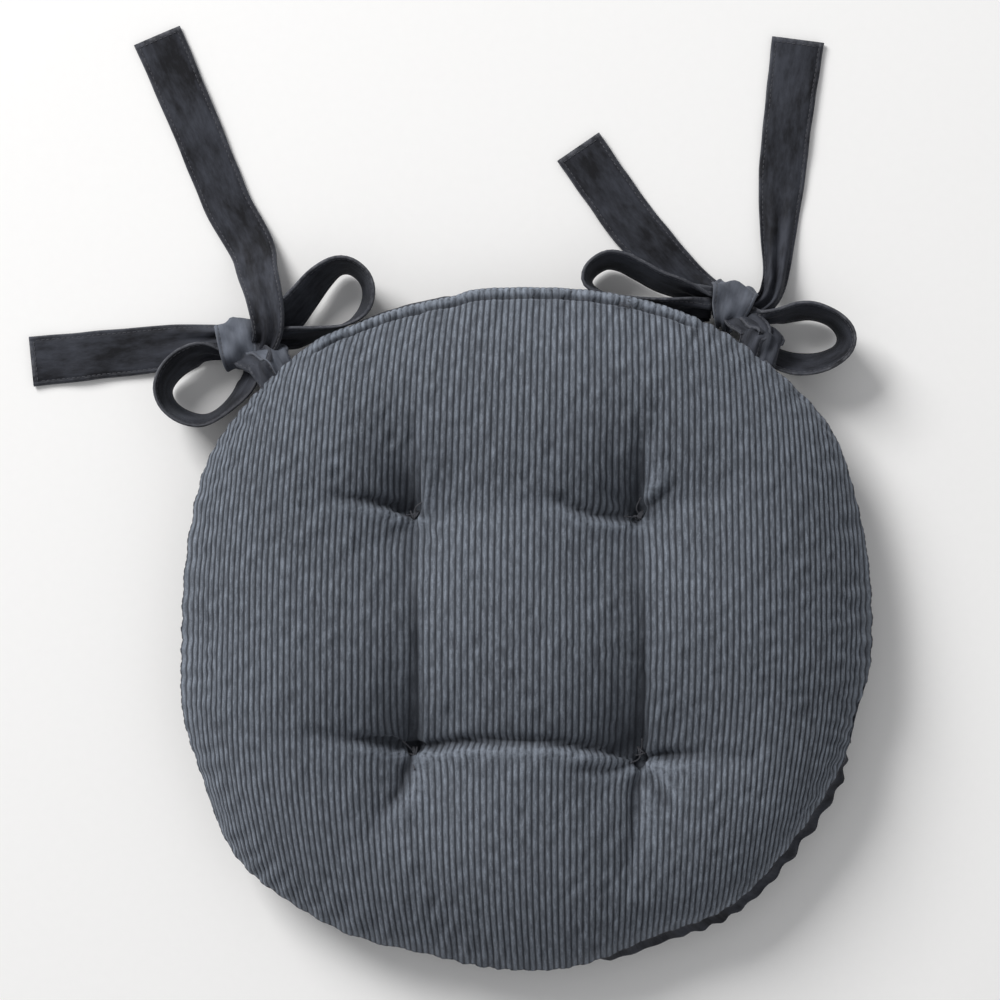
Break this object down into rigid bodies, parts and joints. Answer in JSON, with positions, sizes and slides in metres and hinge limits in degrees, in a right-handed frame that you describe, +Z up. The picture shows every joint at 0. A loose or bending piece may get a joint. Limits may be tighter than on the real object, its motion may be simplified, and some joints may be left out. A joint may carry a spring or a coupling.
{
  "type": "tie-on chair cushion",
  "caption": "Round tufted corduroy seat pad with a velvet underside, and velvet ties knotted in bows at the back edge.",
  "frame": {"origin": "middle of the flat patch under the cushion", "axes": "+Z up through the top, +Y towards the back edge with the ties, +X to the right seen from above"},
  "size_m": [0.4873, 0.5447, 0.072],
  "materials": {
    "corduroy": "slate blue-grey corduroy with raised wales",
    "velvet": "charcoal short-pile velvet",
    "thread": "dull polyester sewing thread",
    "fibre": "loose polyester fibre filling"
  },
  "bodies": {
    "pad": {"top_panel": "corduroy", "bottom_panel": "velvet", "fibre_fill": "fibre", "edge_seam_thread": "thread", "closing_seam_thread": "thread", "front_left_tuft_thread": "thread", "front_right_tuft_thread": "thread", "back_left_tuft_thread": "thread", "back_right_tuft_thread": "thread", "left_tab_a": "velvet", "left_tab_b": "velvet", "right_tab_a": "velvet", "right_tab_b": "velvet"},
    "left_bow": {"left_knot": "velvet", "left_stem_a": "velvet", "left_stem_b": "velvet", "left_back_loop": "velvet", "left_front_loop": "velvet", "left_tail_root": "velvet"},
    "right_bow": {"right_knot": "velvet", "right_stem_a": "velvet", "right_stem_b": "velvet", "right_inner_loop": "velvet", "right_outer_loop": "velvet", "right_tail_root": "velvet"},
    "left_back_tail": {"left_back_tail": "velvet"},
    "left_side_tail": {"left_side_tail": "velvet"},
    "right_back_tail": {"right_back_tail": "velvet"},
    "right_inner_tail": {"right_inner_tail": "velvet"}
  },
  "joints": [
    {"name": "left_bow_swing", "type": "hinge", "parent": "pad", "child": "left_bow", "pos_m": [-0.1491, 0.154, 0.03], "axis": [0.866, 0.5, 0], "range_deg": [-40, 75]},
    {"name": "right_bow_swing", "type": "hinge", "parent": "pad", "child": "right_bow", "pos_m": [0.13579, 0.16755, 0.03], "axis": [0.9659, -0.2588, 0], "range_deg": [-36, 75]},
    {"name": "left_back_tail_bend", "type": "hinge", "parent": "left_bow", "child": "left_back_tail", "pos_m": [-0.16371, 0.18228, 0.0112], "axis": [0.9701, -0.2425, 0], "range_deg": [-45, 80]},
    {"name": "left_side_tail_bend", "type": "hinge", "parent": "left_bow", "child": "left_side_tail", "pos_m": [-0.21521, 0.16308, 0.0015], "axis": [-0.0866, 0.9962, 0], "range_deg": [-45, 80]},
    {"name": "right_back_tail_bend", "type": "hinge", "parent": "right_bow", "child": "right_back_tail", "pos_m": [0.12984, 0.19985, 0.0112], "axis": [0.848, -0.53, 0], "range_deg": [-45, 80]},
    {"name": "right_inner_tail_bend", "type": "hinge", "parent": "right_bow", "child": "right_inner_tail", "pos_m": [0.08884, 0.21895, 0.0015], "axis": [0.7589, 0.6512, 0], "range_deg": [-45, 80]}
  ]
}
